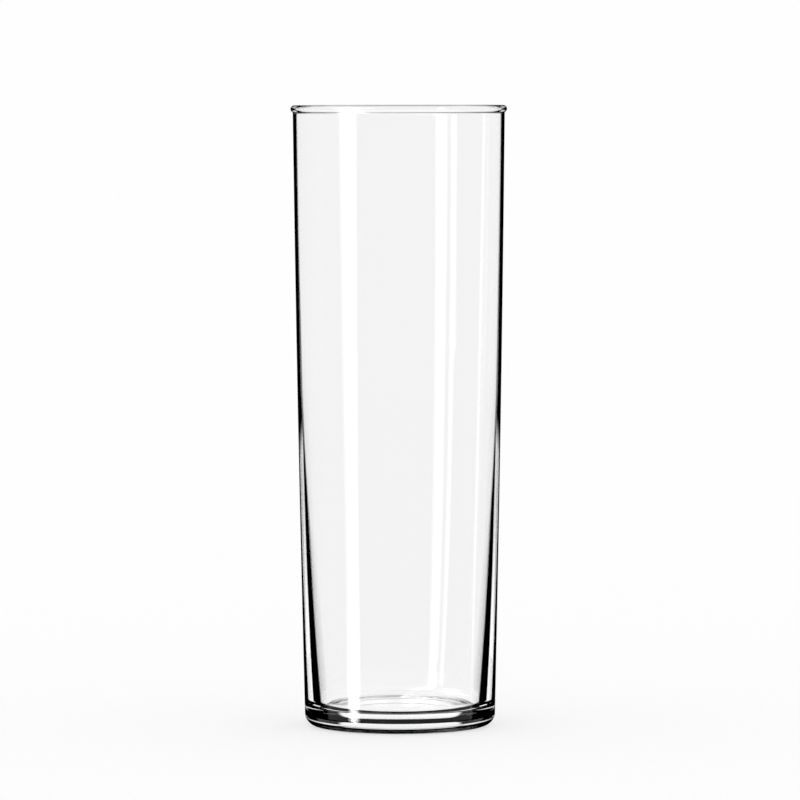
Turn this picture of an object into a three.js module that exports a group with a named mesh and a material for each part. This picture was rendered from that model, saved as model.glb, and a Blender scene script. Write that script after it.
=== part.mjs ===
// Zombie glass: a tall, straight-sided tumbler, blown in one piece of clear soda-lime glass.
// Millimetres, +Z up. The origin is the centre of the foot, on the surface that the glass stands on.
//
// The whole glass is one body of revolution. Its section runs from the axis under the foot, out along the
// foot ring, round the heel, up the outer wall, over the rolled rim, down the inner wall and back to the axis
// along the inside floor.

import * as THREE from "three";

// Overall sizes
const HEIGHT = 181; // from the foot ring to the top of the rim
const RIM_DIAMETER = 63; // over the rolled bead
const FOOT_DIAMETER = 55.4; // where the outer wall, carried straight down, would meet the table
const WALL_BOW = 0.28; // how far the outer wall swells, halfway up, past a straight line from foot to rim

// Wall and base
const WALL_AT_RIM = 1.05; // upper wall, measured level
const WALL_AT_FLOOR = 4.75; // lower wall, measured level at the inside floor
const THICKENING_HEIGHT = 64; // where the line of the thin upper wall meets that of the thick lower wall
const BASE_THICKNESS = 5.5; // from the table to the inside floor
const FLOOR_FILLET = 2.6; // between the inner wall and the inside floor

// Rolled bead at the rim, which is thicker than the wall on both sides
const BEAD_OUTSIDE = 0.65; // how far it stands out past the outer wall
const BEAD_INSIDE = 0.4; // how far it stands in past the inner wall
const BEAD_ROOT_RADIUS = 0.6; // hollow curve that blends the bead into the wall

// Foot
const HEEL_RADIUS = 3.6; // between the outer wall and the foot ring
const FOOT_RING_WIDTH = 3; // flat ring that the glass stands on
const PUSH_UP = 0.7; // rise of the shallow dome inside the foot ring

// Facets: how many steps the whole turn takes, and each round stretch of the section
const TURN_STEPS = 72;
const DOME_STEPS = 4;
const HEEL_STEPS = 7;
const OUTER_WALL_STEPS = 6;
const ROOT_STEPS = 3;
const BEAD_STEPS = 3; // for each quarter of the bead, or less
const INNER_WALL_STEPS = 12;
const FILLET_STEPS = 6;

// A point of the section: x is its distance from the axis, y its height
const at = (radius, height) => new THREE.Vector2(radius, height);

// The round of the bead
const beadRadius = (BEAD_OUTSIDE + WALL_AT_RIM + BEAD_INSIDE) / 2;
const beadCentre = at(RIM_DIAMETER / 2 - beadRadius, HEIGHT - beadRadius);

// The line of the outer wall: a shallow curve, which leaves the foot and reaches the bead on straight lines
// that meet in the belly point, halfway up
const outerFoot = at(FOOT_DIAMETER / 2, 0);
const outerTop = at(RIM_DIAMETER / 2 - BEAD_OUTSIDE, beadCentre.y);
const belly = outerFoot.clone().lerp(outerTop, 0.5).add(at(2 * WALL_BOW, 0));
const upperWall = outerTop.clone().sub(belly);

function outerWallAt(height) {
  return new THREE.QuadraticBezierCurve(outerFoot, belly, outerTop).getPoint(height / outerTop.y);
}

// The straight line that the inner wall follows as it leaves the bead
function upperInnerLineAt(height) {
  const innerTop = outerTop.clone().sub(at(WALL_AT_RIM, 0));
  return innerTop.addScaledVector(upperWall, (height - innerTop.y) / upperWall.y);
}

// The arc round centre from one point to another, the short way
function arc(centre, from, to, steps) {
  const start = from.clone().sub(centre);
  const end = to.clone().sub(centre);
  const clockwise = start.cross(end) < 0;
  const radius = start.length();
  return new THREE.EllipseCurve(
    centre.x, centre.y, radius, radius, start.angle(), end.angle(), clockwise,
  ).getPoints(steps);
}

// The arc that rounds off a corner, tangent to the lines before and after it
function roundedCorner(before, corner, after, radius, steps) {
  const back = before.clone().sub(corner).normalize();
  const ahead = after.clone().sub(corner).normalize();
  const halfAngle = Math.acos(back.dot(ahead)) / 2;
  const setback = radius / Math.tan(halfAngle);
  const bisector = back.clone().add(ahead).normalize();
  const centre = corner.clone().addScaledVector(bisector, radius / Math.sin(halfAngle));
  const start = corner.clone().addScaledVector(back, setback);
  const end = corner.clone().addScaledVector(ahead, setback);
  return arc(centre, start, end, steps);
}

// The hollow curve between a wall and the bead, from the wall up to the bead.
// side is 1 where the air is on the outside of the wall, and -1 where it is on the inside.
function beadRoot(wallPoint, side) {
  const up = upperWall.clone().normalize();
  const intoAir = at(up.y, -up.x).multiplyScalar(side);
  const offsetPoint = wallPoint.clone().addScaledVector(intoAir, BEAD_ROOT_RADIUS);
  const toBead = beadCentre.clone().sub(offsetPoint);
  const along = toBead.dot(up);
  const reach = beadRadius + BEAD_ROOT_RADIUS;
  const drop = Math.sqrt(reach ** 2 - toBead.lengthSq() + along ** 2);
  const centre = offsetPoint.clone().addScaledVector(up, along - drop);
  const onWall = centre.clone().addScaledVector(intoAir, -BEAD_ROOT_RADIUS);
  const onBead = beadCentre.clone().lerp(centre, beadRadius / reach);
  return arc(centre, onWall, onBead, ROOT_STEPS);
}

// Underside: a shallow dome, the flat foot ring, and the heel up to the outer wall
function footStretch() {
  const heel = roundedCorner(at(0, 0), outerFoot, belly, HEEL_RADIUS, HEEL_STEPS);
  const ringInside = heel[0].x - FOOT_RING_WIDTH;
  const dome = new THREE.QuadraticBezierCurve(
    at(0, PUSH_UP), at(ringInside / 2, PUSH_UP), at(ringInside, 0),
  );
  return [...dome.getPoints(DOME_STEPS), ...heel];
}

// Rim: up the outer root, over the bead by its widest points and its crown, and down the inner root
function rimStretch() {
  const outerRoot = beadRoot(outerTop, 1);
  const innerRoot = beadRoot(upperInnerLineAt(beadCentre.y), -1).reverse();
  const stops = [
    outerRoot.at(-1),
    at(RIM_DIAMETER / 2, beadCentre.y),
    at(beadCentre.x, HEIGHT),
    at(beadCentre.x - beadRadius, beadCentre.y),
    innerRoot[0],
  ];
  const bead = [];
  for (let stop = 1; stop < stops.length; stop += 1) {
    bead.push(...arc(beadCentre, stops[stop - 1], stops[stop], BEAD_STEPS).slice(1));
  }
  return [...outerRoot, ...bead, ...innerRoot.slice(1)];
}

// Inside: a wall that thickens in one smooth sweep, the floor fillet, and the floor to the axis
function insideStretch(wallTop) {
  const bend = upperInnerLineAt(THICKENING_HEIGHT);
  const corner = outerWallAt(BASE_THICKNESS).sub(at(WALL_AT_FLOOR, 0));
  const floorCentre = at(0, BASE_THICKNESS);
  const fillet = roundedCorner(bend, corner, floorCentre, FLOOR_FILLET, FILLET_STEPS);
  const wall = new THREE.QuadraticBezierCurve(wallTop, bend, fillet[0]);
  return [...wall.getPoints(INNER_WALL_STEPS), ...fillet.slice(1), floorCentre];
}

function section() {
  const foot = footStretch();
  const rim = rimStretch();
  const outerWall = new THREE.QuadraticBezierCurve(foot.at(-1), belly, rim[0]).getPoints(OUTER_WALL_STEPS);
  const inside = insideStretch(rim.at(-1));
  return [...foot, ...outerWall.slice(1, -1), ...rim, ...inside.slice(1)];
}

// Clear, colourless glass with a fire-polished surface
const clearGlass = new THREE.MeshStandardMaterial({
  color: 0xf2f4f4,
  roughness: 0.03,
  metalness: 0,
  transparent: true,
  opacity: 0.35,
});

function tumbler() {
  const turned = new THREE.LatheGeometry(section(), TURN_STEPS).rotateX(Math.PI / 2);
  const mesh = new THREE.Mesh(turned, clearGlass);
  mesh.name = "tumbler";
  return mesh;
}

const zombieGlass = new THREE.Group();
zombieGlass.add(tumbler());

export default zombieGlass;
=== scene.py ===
# Zombie glass: the tumbler as a fine mesh of clear blown glass, in a plain white studio.
# Lengths are in metres, in the part's own frame: +Z up, with the origin under the centre of the foot.

import math

import bpy
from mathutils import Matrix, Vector


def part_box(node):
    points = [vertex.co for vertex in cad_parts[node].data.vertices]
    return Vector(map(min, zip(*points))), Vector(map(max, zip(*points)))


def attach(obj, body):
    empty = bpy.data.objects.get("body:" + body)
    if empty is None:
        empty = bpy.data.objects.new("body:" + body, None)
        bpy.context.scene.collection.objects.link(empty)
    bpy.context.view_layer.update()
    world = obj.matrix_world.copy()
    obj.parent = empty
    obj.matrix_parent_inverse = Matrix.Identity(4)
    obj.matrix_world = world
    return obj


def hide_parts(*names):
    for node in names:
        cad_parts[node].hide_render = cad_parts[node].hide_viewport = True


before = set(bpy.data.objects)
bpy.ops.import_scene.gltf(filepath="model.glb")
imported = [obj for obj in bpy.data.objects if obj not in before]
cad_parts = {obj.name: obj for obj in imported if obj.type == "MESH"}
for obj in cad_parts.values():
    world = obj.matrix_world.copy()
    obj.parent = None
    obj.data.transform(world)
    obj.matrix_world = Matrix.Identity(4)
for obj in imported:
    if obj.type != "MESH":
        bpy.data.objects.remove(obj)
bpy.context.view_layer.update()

MM = 0.001
TURN = 2 * math.pi
RIGHT_ANGLE = math.pi / 2
DEGREES = 360 / TURN  # in a radian
PURE_WHITE = (1, 1, 1, 1)

# Sizes of the glass. The part's own box gives the height and the rim.
TUMBLER_NODE = "tumbler"
foot_corner, rim_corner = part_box(TUMBLER_NODE)
GLASS_SIZES = {
    "Height": rim_corner.z - foot_corner.z,
    "Rim diameter": rim_corner.x - foot_corner.x,
    "Foot diameter": 55.4 * MM,
    "Wall bow": 0.28 * MM,
    "Wall at rim": 1.05 * MM,
    "Wall at floor": 4.75 * MM,
    "Thickening height": 64 * MM,
    "Base thickness": 5.5 * MM,
    "Floor fillet": 2.6 * MM,
    "Bead outside": 0.65 * MM,
    "Bead inside": 0.4 * MM,
    "Bead root radius": 0.6 * MM,
    "Heel radius": 3.6 * MM,
    "Foot ring width": 3 * MM,
    "Push-up": 0.7 * MM,
    "Ripple depth": 0.03 * MM,
    "Ripple length": 40 * MM,
}
RIPPLE_SEED = 7
RIPPLE_STRETCH = 3  # how much longer the ripples are up the wall than around it
RIPPLE_DETAIL = 1.0
RIPPLE_END = 4  # the ripple is gone this many bead roots below the top

# Fineness of the mesh: steps round the whole turn, and along each stretch of the section
TURN_STEPS = 256
DOME_STEPS = 14
RING_STEPS = 4
HEEL_STEPS = 24
OUTER_WALL_STEPS = 80
ROOT_STEPS = 8
BEAD_STEPS = 30
INNER_WALL_STEPS = 90
WALL_CROWDING = 0.92  # how much shorter the steps get at both ends of a wall
FILLET_STEPS = 20
FLOOR_STEPS = 12
FLOOR_CROWDING = 0.9  # how much shorter the inside floor's steps get at the fillet than at the axis
MERGE_DISTANCE = 0.001 * MM

# Glass and its surface
REFRACTIVE_INDEX = 1.52
BODY_COLOUR = (0.9, 0.93, 0.92, 1)
BODY_DENSITY = 4  # how strongly a metre of glass takes on that colour
SCUFF_HEIGHT = 0.12 * MM  # wear from standing reaches this far up from the table
SCUFF_SIZE = 0.8 * MM
SCUFF_PATCHES = (0.4, 0.6)  # levels of the noise where a scuff begins and where it is full
SCUFF_ROUGHNESS = 0.15
STRIA_WIDTH = 7 * MM  # faint upright streaks, left by the drawing of the wall
STRIA_STRETCH = 10
STRIA_DEPTH = 0.012 * MM
STRIA_START = (8 * MM, 30 * MM)  # heights, above the heavy base, between which they set in
NOISE_DETAIL = 2.0

# Camera: a little higher than the rim and 1.7 m away, looking slightly down at the middle of the glass
CAMERA_DISTANCE = 1.69
CAMERA_HEIGHT = 0.190
CAMERA_AIM_HEIGHT = 0.0951
CAMERA_SIDE = 0.19 * MM  # the glass stands a touch left of the middle
CAMERA_ROLL = math.radians(-0.12)
FRAME_WIDTH = 0.2330  # what the picture spans at the glass
SENSOR_WIDTH = 36  # millimetres, as Blender's camera counts it

# Studio
WHITE = 0.99
FLOOR_SIZE = 60
FLOOR_DROP = 0.1 * MM  # keeps the floor just clear of the foot ring
LOST_AFTER = 10  # light that the glass has mirrored this many times is lost
BOUNCES = 96  # of light in all, and of each kind
MIRROR_BOUNCES = 80
GLASS_BOUNCES = 64
GLOSS_BLUR = 0.25  # Blender's filter for stray bright dots


# Arithmetic in node trees

class Number:
    """A number in a node tree. Arithmetic on it adds Math nodes, so a tree's sums read as plain ones."""

    def __init__(self, tree, socket):
        self.tree = tree
        self.socket = socket

    def math(self, operation, *others):
        node = self.tree.nodes.new("ShaderNodeMath")
        node.operation = operation
        for value, socket in zip((self, *others), node.inputs):
            plug(self.tree, value, socket)
        return Number(self.tree, node.outputs["Value"])

    def __add__(self, other):
        return self.math("ADD", other)

    def __sub__(self, other):
        return self.math("SUBTRACT", other)

    def __rsub__(self, other):
        return -self + other

    def __mul__(self, other):
        return self.math("MULTIPLY", other)

    def __truediv__(self, other):
        return self.math("DIVIDE", other)

    def __neg__(self):
        return self * -1

    def or_more(self, other):
        """The larger of the two."""
        return self.math("MAXIMUM", other)

    def or_less(self, other):
        """The smaller of the two."""
        return self.math("MINIMUM", other)

    def at_least(self, count):
        """For a count: 1 where it reaches this one, and 0 where it does not."""
        return self.math("GREATER_THAN", count - 0.5)

    def fewer_than(self, count):
        """For a count: 1 where it stays below this one, and 0 where it does not."""
        return self.math("LESS_THAN", count - 0.5)


def plug(tree, value, socket):
    """Feeds a socket with a number of the tree, with another node's output, or with a plain value."""
    if isinstance(value, Number):
        value = value.socket
    if isinstance(value, bpy.types.NodeSocket):
        tree.links.new(value, socket)
    else:
        socket.default_value = value


def add_node(tree, kind, settings=None, **inputs):
    """Adds a node. settings are its own options; inputs go to sockets of that name, with _ for a space."""
    node = tree.nodes.new(kind)
    for name, value in (settings or {}).items():
        setattr(node, name, value)
    for name, value in inputs.items():
        plug(tree, value, node.inputs[name.replace("_", " ")])
    return node


def vector(tree, x, y, z=0.0):
    return add_node(tree, "ShaderNodeCombineXYZ", X=x, Y=y, Z=z).outputs["Vector"]


def split(tree, socket):
    node = add_node(tree, "ShaderNodeSeparateXYZ", Vector=socket)
    return [Number(tree, output) for output in node.outputs]


def ramp(number, start, end):
    """0 up to start, 1 from end on, and a smooth change between them. Start may be the larger one."""
    node = number.tree.nodes.new("ShaderNodeMapRange")
    node.interpolation_type = "SMOOTHSTEP"
    plug(number.tree, number, node.inputs["Value"])
    plug(number.tree, start, node.inputs["From Min"])
    plug(number.tree, end, node.inputs["From Max"])
    return Number(number.tree, node.outputs["Result"])


def past(number, edge, blur):
    """0 below the edge and 1 above it, blurred by that much to both sides."""
    return ramp(number, edge - blur, edge + blur)


def short_of(number, edge, blur):
    """1 below the edge and 0 above it, blurred by that much to both sides."""
    return ramp(number, edge + blur, edge - blur)


def band(number, low, high, blur):
    """1 between low and high, and 0 outside, with both edges blurred."""
    return past(number, low, blur) * short_of(number, high, blur)


def between(share, start, end):
    """A value on the way from start, at a share of 0, to end, at a share of 1."""
    return share * (end - start) + start


# The glass: its section drawn as a chain of arcs and curves, then turned about the axis

def drawn(tree, steps, place, crowding=0.0):
    """A stretch of the section. place gives a point, out from the axis and up, for each share of the way.
    Crowding, from 0 to 1, draws the points together at both ends, where tighter curves follow."""
    line = add_node(tree, "GeometryNodeMeshLine", Count=steps + 1)
    share = Number(tree, tree.nodes.new("GeometryNodeInputIndex").outputs["Index"]) / steps
    share = share - (share * TURN).math("SINE") * (crowding / TURN)
    bent = add_node(
        tree, "GeometryNodeSetPosition",
        Geometry=line.outputs["Mesh"], Position=vector(tree, *place(share)),
    )
    return add_node(tree, "GeometryNodeMeshToCurve", Mesh=bent.outputs["Geometry"]).outputs["Curve"]


def on_circle(centre, radius, angle):
    return (centre[0] + radius * angle.math("COSINE"), centre[1] + radius * angle.math("SINE"))


def arc(tree, centre, radius, start, sweep, steps):
    return drawn(tree, steps, lambda share: on_circle(centre, radius, share * sweep + start))


def sweep_curve(tree, start, middle, end, steps, crowding=0.0):
    """A smooth curve that leaves start towards middle and reaches end from it."""
    def place(share):
        rest = 1 - share
        return [
            rest * rest * first + rest * share * 2 * second + share * share * third
            for first, second, third in zip(start, middle, end)
        ]
    return drawn(tree, steps, place, crowding)


def lean(across, up):
    """How far a line leans away from the vertical."""
    return (across / up).math("ARCTANGENT")


def corner_setback(radius, line_lean):
    """How far from the corner a fillet between a level line and a leaning one starts."""
    return radius / ((line_lean + RIGHT_ANGLE) / 2).math("TANGENT")


def glass_section(tree, size):
    """The section's curves in order, from the axis under the foot to the axis on the inside floor."""
    bead_radius = (size["Bead outside"] + size["Wall at rim"] + size["Bead inside"]) / 2
    bead_centre = (size["Rim diameter"] / 2 - bead_radius, size["Height"] - bead_radius)
    foot_radius = size["Foot diameter"] / 2
    top_radius = size["Rim diameter"] / 2 - size["Bead outside"]
    belly = ((foot_radius + top_radius) / 2 + size["Wall bow"] * 2, bead_centre[1] / 2)
    lower_lean = lean(belly[0] - foot_radius, belly[1])
    upper_lean = lean(top_radius - belly[0], belly[1])

    # Underside, foot ring and heel
    heel_radius = size["Heel radius"]
    heel_centre = (foot_radius - corner_setback(heel_radius, lower_lean), heel_radius)
    ring_inside = heel_centre[0] - size["Foot ring width"]
    ring_middle = heel_centre[0] - size["Foot ring width"] / 2
    dome = sweep_curve(
        tree, (0.0, size["Push-up"]), (ring_inside / 2, size["Push-up"]), (ring_inside, 0.0), DOME_STEPS,
    )
    ring = sweep_curve(tree, (ring_inside, 0.0), (ring_middle, 0.0), (heel_centre[0], 0.0), RING_STEPS)
    heel = arc(tree, heel_centre, heel_radius, -RIGHT_ANGLE, RIGHT_ANGLE - lower_lean, HEEL_STEPS)

    # Rim: the bead, and the hollow roots that blend it into the wall on both sides
    root_radius = size["Bead root radius"]
    reach = bead_radius + root_radius
    level = upper_lean.math("COSINE")
    outer_turn = (((bead_radius - size["Bead outside"]) * level + root_radius) / reach).math("ARCCOSINE")
    inner_turn = (((bead_radius - size["Bead inside"]) * level + root_radius) / reach).math("ARCCOSINE")
    outer_meeting = -(outer_turn + upper_lean)
    inner_meeting = inner_turn - upper_lean + math.pi
    bead_sweep = outer_turn + inner_turn + math.pi
    outer_root_centre = on_circle(bead_centre, reach, outer_meeting)
    inner_root_centre = on_circle(bead_centre, reach, inner_meeting)
    outer_start = math.pi - upper_lean
    inner_start = inner_turn - upper_lean
    outer_root = arc(tree, outer_root_centre, root_radius, outer_start, -outer_turn, ROOT_STEPS)
    bead = arc(tree, bead_centre, bead_radius, outer_meeting, bead_sweep, BEAD_STEPS)
    inner_root = arc(tree, inner_root_centre, root_radius, inner_start, -inner_turn, ROOT_STEPS)

    # Inside floor and its fillet
    base = size["Base thickness"]
    up_share = base / bead_centre[1]
    swell = size["Wall bow"] * 4 * up_share * (1 - up_share)
    floor_corner = foot_radius + (top_radius - foot_radius) * up_share + swell - size["Wall at floor"]
    bend_height = size["Thickening height"]
    bend = (
        top_radius - size["Wall at rim"] - upper_lean.math("TANGENT") * (bead_centre[1] - bend_height),
        bend_height,
    )
    inner_lean = lean(bend[0] - floor_corner, bend_height - base)
    fillet_radius = size["Floor fillet"]
    fillet_centre = (floor_corner - corner_setback(fillet_radius, inner_lean), base + fillet_radius)
    fillet = arc(tree, fillet_centre, fillet_radius, -inner_lean, inner_lean - RIGHT_ANGLE, FILLET_STEPS)
    inside_floor = sweep_curve(
        tree,
        (fillet_centre[0], base),
        (fillet_centre[0] * FLOOR_CROWDING, base),
        (0.0, base),
        FLOOR_STEPS,
    )

    # Walls, from heel to bead and from bead to fillet
    outer_wall = sweep_curve(
        tree,
        on_circle(heel_centre, heel_radius, -lower_lean),
        belly,
        on_circle(outer_root_centre, root_radius, outer_start),
        OUTER_WALL_STEPS,
        WALL_CROWDING,
    )
    inner_wall = sweep_curve(
        tree,
        on_circle(inner_root_centre, root_radius, -upper_lean),
        bend,
        on_circle(fillet_centre, fillet_radius, -inner_lean),
        INNER_WALL_STEPS,
        WALL_CROWDING,
    )
    return [dome, ring, heel, outer_wall, outer_root, bead, inner_root, inner_wall, fillet, inside_floor]


def turned_mesh(tree, curves):
    """Turns the section about the axis: a grid with a row for each point, wound round and closed."""
    chain = tree.nodes.new("GeometryNodeJoinGeometry")
    for curve in reversed(curves):  # the node takes its last link first
        tree.links.new(curve, chain.inputs["Geometry"])
    section = chain.outputs["Geometry"]
    count = add_node(tree, "GeometryNodeAttributeDomainSize", {"component": "CURVE"}, Geometry=section)
    columns = TURN_STEPS + 1
    grid = add_node(
        tree, "GeometryNodeMeshGrid", Vertices_X=count.outputs["Point Count"], Vertices_Y=columns,
    )
    index = Number(tree, tree.nodes.new("GeometryNodeInputIndex").outputs["Index"])
    row = (index / columns).math("FLOOR")
    angle = (row * columns - index) * (TURN / TURN_STEPS)  # clockwise, so that the faces look outward
    position = tree.nodes.new("GeometryNodeInputPosition").outputs["Position"]
    place = add_node(
        tree, "GeometryNodeSampleIndex", {"data_type": "FLOAT_VECTOR", "domain": "POINT"},
        Geometry=section, Value=position, Index=row,
    )
    radius, height, _ = split(tree, place.outputs["Value"])
    wound = add_node(
        tree, "GeometryNodeSetPosition", Geometry=grid.outputs["Mesh"],
        Position=vector(tree, radius * angle.math("COSINE"), radius * angle.math("SINE"), height),
    )
    closed = add_node(
        tree, "GeometryNodeMergeByDistance", Geometry=wound.outputs["Geometry"], Distance=MERGE_DISTANCE,
    )
    return closed.outputs["Geometry"]


def rippled(tree, mesh, size):
    """The slight unevenness of a blown wall, which dies out towards the foot and the rim."""
    position = tree.nodes.new("GeometryNodeInputPosition").outputs["Position"]
    x, y, height = split(tree, position)
    waves = add_node(
        tree, "ShaderNodeTexNoise", {"noise_dimensions": "4D"},
        Vector=vector(tree, x, y, height / RIPPLE_STRETCH), W=float(RIPPLE_SEED),
        Scale=size["Ripple length"].math("POWER", -1), Detail=RIPPLE_DETAIL,
    )
    full_low = size["Base thickness"] + size["Ripple length"]
    full_high = size["Height"] - size["Ripple length"] / 2
    none_high = size["Height"] - size["Bead root radius"] * RIPPLE_END
    share = ramp(height, size["Base thickness"], full_low) * ramp(height, none_high, full_high)
    swing = (Number(tree, waves.outputs["Fac"]) - 0.5) * size["Ripple depth"] * 2 * share
    outward = add_node(tree, "ShaderNodeVectorMath", {"operation": "SCALE"}, Scale=swing)
    tree.links.new(tree.nodes.new("GeometryNodeInputNormal").outputs["Normal"], outward.inputs[0])
    moved = add_node(tree, "GeometryNodeSetPosition", Geometry=mesh, Offset=outward.outputs["Vector"])
    return moved.outputs["Geometry"]


def tumbler_tree(material):
    """The Geometry Nodes tree of the glass, with an input for each of its sizes."""
    tree = bpy.data.node_groups.new("turned_tumbler", "GeometryNodeTree")
    tree.interface.new_socket("Geometry", in_out="OUTPUT", socket_type="NodeSocketGeometry")
    for name in GLASS_SIZES:
        tree.interface.new_socket(name, in_out="INPUT", socket_type="NodeSocketFloat")
    given = tree.nodes.new("NodeGroupInput")
    size = {name: Number(tree, given.outputs[name]) for name in GLASS_SIZES}
    mesh = rippled(tree, turned_mesh(tree, glass_section(tree, size)), size)
    smooth = add_node(tree, "GeometryNodeSetShadeSmooth", Geometry=mesh)
    real = add_node(tree, "GeometryNodeRealizeInstances", Geometry=smooth.outputs["Geometry"])
    glazed = add_node(
        tree, "GeometryNodeSetMaterial", Geometry=real.outputs["Geometry"], Material=material,
    )
    result = tree.nodes.new("NodeGroupOutput")
    tree.links.new(glazed.outputs["Geometry"], result.inputs["Geometry"])
    return tree


def blown_tumbler(material):
    """The whole glass, as a plain mesh that stands for the part's one node."""
    glass = bpy.data.objects.new("blown_tumbler", bpy.data.meshes.new("blown_tumbler"))
    bpy.context.scene.collection.objects.link(glass)
    modifier = glass.modifiers.new("turned", "NODES")
    modifier.node_group = tumbler_tree(material)
    for item in modifier.node_group.interface.items_tree:
        if item.in_out == "INPUT":
            modifier[item.identifier] = GLASS_SIZES[item.name]
    evaluated = glass.evaluated_get(bpy.context.evaluated_depsgraph_get())
    mesh = bpy.data.meshes.new_from_object(evaluated)
    mesh.materials.pop(index=0)  # the empty slot that the plain grid starts with
    glass.modifiers.clear()
    glass.data = mesh
    return glass


# Glass

def noise(tree, place, size):
    """Cloudy noise from 0 to 1, with clouds about as wide as size."""
    cloud = add_node(tree, "ShaderNodeTexNoise", Vector=place, Scale=1 / size, Detail=NOISE_DETAIL)
    return Number(tree, cloud.outputs["Fac"])


def clear_glass():
    """Colourless soda-lime glass: polished, faintly drawn up the wall, and scuffed where it stands."""
    material = bpy.data.materials.new("blown_clear_glass")
    material.use_nodes = True
    tree = material.node_tree
    place = tree.nodes.new("ShaderNodeTexCoord").outputs["Object"]
    x, y, height = split(tree, place)
    scuffed = ramp(height, SCUFF_HEIGHT, 0) * ramp(noise(tree, place, SCUFF_SIZE), *SCUFF_PATCHES)
    drawn_out = noise(tree, vector(tree, x, y, height / STRIA_STRETCH), STRIA_WIDTH)
    relief = add_node(
        tree, "ShaderNodeBump", Height=drawn_out * ramp(height, *STRIA_START), Distance=STRIA_DEPTH,
    )
    shader = tree.nodes["Principled BSDF"]
    shader.inputs["Base Color"].default_value = PURE_WHITE
    shader.inputs["IOR"].default_value = REFRACTIVE_INDEX
    shader.inputs["Transmission Weight"].default_value = 1
    plug(tree, scuffed * SCUFF_ROUGHNESS, shader.inputs["Roughness"])
    plug(tree, relief.outputs["Normal"], shader.inputs["Normal"])
    body = tree.nodes.new("ShaderNodeVolumeAbsorption")
    body.inputs["Color"].default_value = BODY_COLOUR
    body.inputs["Density"].default_value = BODY_DENSITY
    output = tree.nodes["Material Output"]
    tree.links.new(body.outputs["Volume"], output.inputs["Volume"])
    return material


# Studio. All is white to the eye. Reflections, and light through the solid heel, find a room of lamps,
# pale panels and dark flags instead, each placed for the reflections that it serves. Its angles are in
# degrees: azimuth is 0 straight behind the glass and grows to the right, and elevation is 0 on the level.

def ray_kinds(tree):
    """What a ray has met so far, each as 1 or 0."""
    path = tree.nodes.new("ShaderNodeLightPath")
    mirrors = Number(tree, path.outputs["Glossy Depth"])
    surfaces = Number(tree, path.outputs["Transmission Depth"])
    scatterings = Number(tree, path.outputs["Diffuse Depth"])
    mirrored = mirrors.at_least(1)
    return {
        "scattered": scatterings.at_least(1),
        "mirrored": mirrored,
        "once": mirrors.fewer_than(2),
        "strong": mirrors.fewer_than(LOST_AFTER),
        "first": mirrored * surfaces.fewer_than(1),  # mirrored by the outside of the glass
        "wall": surfaces.at_least(1) * surfaces.fewer_than(3),  # through one wall, the heel or the base
        "across": surfaces.at_least(3),  # on through the inside to the far wall
        "eye": surfaces.fewer_than(1) * (1 - mirrored),
    }


class Heading:
    """Where a ray goes to, as it leaves the glass."""

    def __init__(self, tree):
        x, y, z = split(tree, tree.nodes.new("ShaderNodeTexCoord").outputs["Generated"])
        self.azimuth = x.math("ARCTAN2", y) * DEGREES
        self.elevation = z.math("ARCSINE") * DEGREES
        self.aside = self.azimuth.math("ABSOLUTE")  # the same to the left and to the right


def room_walls(ray):
    """Pale behind the glass, and grey towards the front."""
    pale = 0.88
    pale_up_to = 15
    grey = 0.40
    grey_from = 130
    return between(ramp(ray.aside, grey_from, pale_up_to), grey, pale)


def softbox(ray):
    """The large lamp at the front left, wider at the top."""
    left = -131
    right = -113.5
    spread = 0.45  # how far each side moves out for each degree up
    side_blur = 5
    bottom = -40
    top = 50
    end_blur = 4
    brightness = 5.0
    left_side = past(ray.azimuth + ray.elevation * spread, left, side_blur)
    right_side = short_of(ray.azimuth - ray.elevation * spread, right, side_blur)
    return left_side * right_side * band(ray.elevation, bottom, top, end_blur) * brightness


def strip_lamp(ray):
    """A thin lamp on the right, which leans to the left as it rises."""
    left = 70.2
    right = 73.8
    slant = 1.46  # how far it moves left for each degree up
    side_blur = 1.0
    bottom = -7.75
    bottom_blur = 0.75
    brightness = 1.8
    upright = band(ray.azimuth + ray.elevation * slant, left, right, side_blur)
    return upright * past(ray.elevation, bottom, bottom_blur) * brightness


def back_flags(ray):
    """A dark flag on each side behind the glass, which widens downwards from a point."""
    height = -5.2  # where its edges are measured
    inner = 34
    inner_slant = 6.8  # how far this edge moves out for each degree down
    outer = 49
    outer_slant = 11.6
    blur = 2
    down = height - ray.elevation
    inner_edge = past(ray.aside - down * inner_slant, inner, blur)
    outer_edge = short_of(ray.aside - down * outer_slant, outer, blur)
    return inner_edge * outer_edge


def low_panels(ray):
    """A pale panel on each side, low behind the glass, and a little brighter further down."""
    inner = 8
    outer = 28
    side_blur = 1.0
    top = -6.2
    top_blur = 0.4
    brightness = 1.2
    brightness_below = 1.4
    change = -10
    change_blur = 2
    panels = band(ray.aside, inner, outer, side_blur) * short_of(ray.elevation, top, top_blur)
    return panels * between(short_of(ray.elevation, change, change_blur), brightness, brightness_below)


def base_glow(ray):
    """A pale band just above the level, behind and in front, which lights up the heavy base."""
    bottom = 4.5
    top = 20
    end_blur = 1.5
    behind = 27
    in_front = 101
    side_blur = 3
    sides = short_of(ray.aside, behind, side_blur) + past(ray.aside, in_front, side_blur)
    return band(ray.elevation, bottom, top, end_blur) * sides


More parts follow.
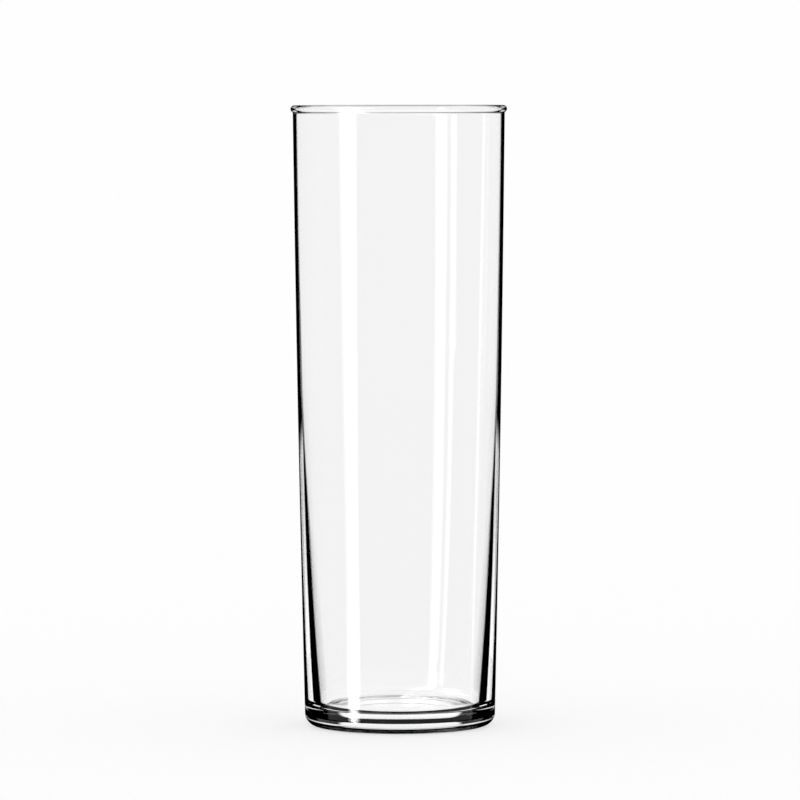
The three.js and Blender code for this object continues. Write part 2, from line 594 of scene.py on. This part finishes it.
def far_softbox(ray):
    """The softbox for the far wall of the glass: a broad, slanting lamp, and a short, thin one."""
    slant = 0.4  # how far its left side moves left for each degree up
    left = -135.9
    right = -123.7
    spread = 0.6  # how much wider the broad lamp gets for each degree up
    side_blur = 3
    thin_left = -116.7
    thin_right = -110.7
    thin_blur = 2.0
    thin_bottom = -2.7
    thin_bottom_blur = 0.2
    thin_top = 1.5
    thin_top_blur = 0.5
    brightness = 3.6
    slanted = ray.azimuth + ray.elevation * slant
    broad = past(slanted, left, side_blur)
    broad = broad * short_of(slanted - ray.elevation * spread, right, side_blur)
    thin = band(slanted, thin_left, thin_right, thin_blur)
    thin = thin * past(ray.elevation, thin_bottom, thin_bottom_blur)
    thin = thin * short_of(ray.elevation, thin_top, thin_top_blur)
    return (broad + thin) * brightness


def outside_reflections(ray, walls, lamp):
    """What the outside of the glass mirrors. The walls leave a dark gap behind it, wider for the heel."""
    gap = 31  # to each side
    gap_blur = 2
    heel_top = -6.65
    heel_top_blur = 0.25
    heel_widening = 27  # how much wider the gap is below heel_top
    floor_line = -29
    floor_blur = 5
    foot_top = -7.75
    foot_top_blur = 0.75
    foot_boost = 5  # how many times brighter the softbox is below foot_top
    widening = short_of(ray.elevation, heel_top, heel_top_blur) * heel_widening
    lit_walls = walls * past(ray.aside - widening, gap, gap_blur)
    lit_walls = lit_walls * past(ray.elevation, floor_line, floor_blur)
    boost = between(short_of(ray.elevation, foot_top, foot_top_blur), 1, foot_boost)
    return lit_walls * (1 - back_flags(ray)) + lamp * boost + strip_lamp(ray)


def wall_reflections(ray, walls, lamp):
    """What is mirrored within one wall or the base. The dark gap behind the glass widens downwards."""
    gap = 31  # to each side
    gap_blur = 2
    widening_top = -5.5
    widening_slant = 3.7  # how far the gap's edges move out for each degree down, at first
    slower_top = 3.5  # lower down they move out one for one, on a line that starts at this elevation
    walls_top = 4.75
    walls_top_blur = 1.25
    floor_line = -23
    floor_blur = 2
    quick_widening = ((widening_top - ray.elevation) * widening_slant).or_more(0)
    widening = quick_widening.or_less(slower_top - ray.elevation)
    lit_walls = walls * past(ray.aside - widening, gap, gap_blur)
    lit_walls = lit_walls * short_of(ray.elevation, walls_top, walls_top_blur)
    above_floor = past(ray.elevation, floor_line, floor_blur)
    return (lit_walls + low_panels(ray)) * above_floor + base_glow(ray) + lamp


def far_reflections(ray, walls):
    """What the far wall mirrors: the room under a white ceiling, with a dark edge along the floor."""
    ceiling = 2
    ceiling_blur = 1
    edge_bottom = -24
    edge_top = -6.5
    edge_blur = 1.0
    edge_side = 30
    edge_side_blur = 4
    floor_edge = band(ray.elevation, edge_bottom, edge_top, edge_blur)
    floor_edge = floor_edge * short_of(ray.aside, edge_side, edge_side_blur)
    lit_room = (walls + far_softbox(ray)).or_more(past(ray.elevation, ceiling, ceiling_blur))
    return lit_room * (1 - floor_edge)


def heel_panels(ray):
    """What shows through the solid heel: broad pale panels behind and in front, slim ones at the sides,
    and the floor under it."""
    quarter = 90
    broad_half = 29
    slim_half = 15
    side_blur = 2
    bottom = -8
    bottom_blur = 2
    floor_line = -52.5
    floor_blur = 2.5
    broad = short_of(ray.azimuth.math("PINGPONG", quarter), broad_half, side_blur)
    slim = short_of((ray.azimuth + quarter).math("PINGPONG", quarter), slim_half, side_blur)
    panels = broad.or_more(slim) * past(ray.elevation, bottom, bottom_blur)
    return panels.or_more(short_of(ray.elevation, floor_line, floor_blur))


def studio_world():
    """Plain white, apart from what the glass mirrors and what its heel shows."""
    world = bpy.data.worlds.new("white_studio")
    world.use_nodes = True
    world.cycles.sampling_method = "NONE"
    tree = world.node_tree
    kind = ray_kinds(tree)
    ray = Heading(tree)
    walls = room_walls(ray)
    lamp = softbox(ray)
    mirror_room = outside_reflections(ray, walls, lamp) * kind["first"]
    mirror_room = mirror_room + wall_reflections(ray, walls, lamp) * kind["once"] * kind["wall"]
    mirror_room = mirror_room + far_reflections(ray, walls) * kind["across"] * kind["strong"]
    unmirrored = 1 - kind["mirrored"]
    room = mirror_room * kind["mirrored"] + heel_panels(ray) * unmirrored * kind["wall"]
    clear = (unmirrored * (1 - kind["wall"])).or_more(kind["scattered"])
    background = tree.nodes["Background"]
    plug(tree, clear * WHITE + room * (1 - clear), background.inputs["Strength"])
    background.inputs["Color"].default_value = PURE_WHITE
    bpy.context.scene.world = world


def floor_shown(tree):
    """1 where a ray finds the floor: all over for the eye and scattered light, in places through glass."""
    strip_side = 20 * MM  # behind the glass, for the base
    strip_side_blur = 2 * MM
    strip_start = 25 * MM
    strip_start_blur = 5 * MM
    strip_end = 450 * MM
    strip_end_blur = 150 * MM
    ring_start = 75 * MM  # all round the glass, for the heel and the rim
    ring_start_blur = 15 * MM
    ring_end = 1200 * MM
    ring_end_blur = 100 * MM
    patch_side = 42.5 * MM  # a dark patch in that ring, which draws the rim's top line
    patch_side_blur = 2.5 * MM
    patch_start = 245 * MM
    patch_end = 315 * MM
    patch_blur = 5 * MM
    kind = ray_kinds(tree)
    x, y, _ = split(tree, tree.nodes.new("ShaderNodeTexCoord").outputs["Object"])
    aside = x.math("ABSOLUTE")
    distance = (x * x + y * y).math("SQRT")
    strip = short_of(aside, strip_side, strip_side_blur) * past(y, strip_start, strip_start_blur)
    strip = strip * short_of(y, strip_end, strip_end_blur)
    patch = short_of(aside, patch_side, patch_side_blur) * band(y, patch_start, patch_end, patch_blur)
    ring = past(distance, ring_start, ring_start_blur) * short_of(distance, ring_end, ring_end_blur)
    in_base = kind["mirrored"] * kind["once"] * strip
    in_glass = (1 - kind["mirrored"]) * ring * (1 - patch)
    return kind["eye"].or_more(kind["scattered"]).or_more(kind["wall"] * in_base.or_more(in_glass))


def studio_floor():
    """A plain white floor. Where a ray passes it by, the room's panels reach down to the foot."""
    material = bpy.data.materials.new("white_floor")
    material.use_nodes = True
    tree = material.node_tree
    tree.nodes.remove(tree.nodes["Principled BSDF"])
    paint = add_node(tree, "ShaderNodeBsdfDiffuse", Color=PURE_WHITE)
    passed = tree.nodes.new("ShaderNodeBsdfTransparent")
    mix = add_node(tree, "ShaderNodeMixShader", Fac=floor_shown(tree))
    tree.links.new(passed.outputs["BSDF"], mix.inputs[1])
    tree.links.new(paint.outputs["BSDF"], mix.inputs[2])
    tree.links.new(mix.outputs["Shader"], tree.nodes["Material Output"].inputs["Surface"])
    half = FLOOR_SIZE / 2
    corners = [(-half, -half), (half, -half), (half, half), (-half, half)]
    mesh = bpy.data.meshes.new("studio_floor")
    mesh.from_pydata([(x, y, -FLOOR_DROP) for x, y in corners], [], [(0, 1, 2, 3)])
    mesh.materials.append(material)
    plane = bpy.data.objects.new("studio_floor", mesh)
    bpy.context.scene.collection.objects.link(plane)


def camera():
    data = bpy.data.cameras.new("camera")
    data.sensor_width = SENSOR_WIDTH
    data.lens = SENSOR_WIDTH * CAMERA_DISTANCE / FRAME_WIDTH
    data.clip_end = 2 * FLOOR_SIZE
    eye = bpy.data.objects.new("camera", data)
    eye.location = (CAMERA_SIDE, -CAMERA_DISTANCE, CAMERA_HEIGHT)
    aim = Vector((CAMERA_SIDE, 0, CAMERA_AIM_HEIGHT)) - eye.location
    eye.rotation_euler = aim.to_track_quat("-Z", "Y").to_euler()
    eye.rotation_euler.rotate_axis("Z", CAMERA_ROLL)
    bpy.context.scene.collection.objects.link(eye)
    bpy.context.scene.camera = eye


def light_paths():
    """Enough bounces for light that is caught in the heavy base."""
    cycles = bpy.context.scene.cycles
    cycles.blur_glossy = GLOSS_BLUR
    cycles.max_bounces = BOUNCES
    cycles.glossy_bounces = MIRROR_BOUNCES
    cycles.transmission_bounces = GLASS_BOUNCES


camera()
glass = blown_tumbler(clear_glass())
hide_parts(TUMBLER_NODE)
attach(glass, "root")
studio_world()
studio_floor()
light_paths()
bpy.context.scene.view_settings.view_transform = "Standard"
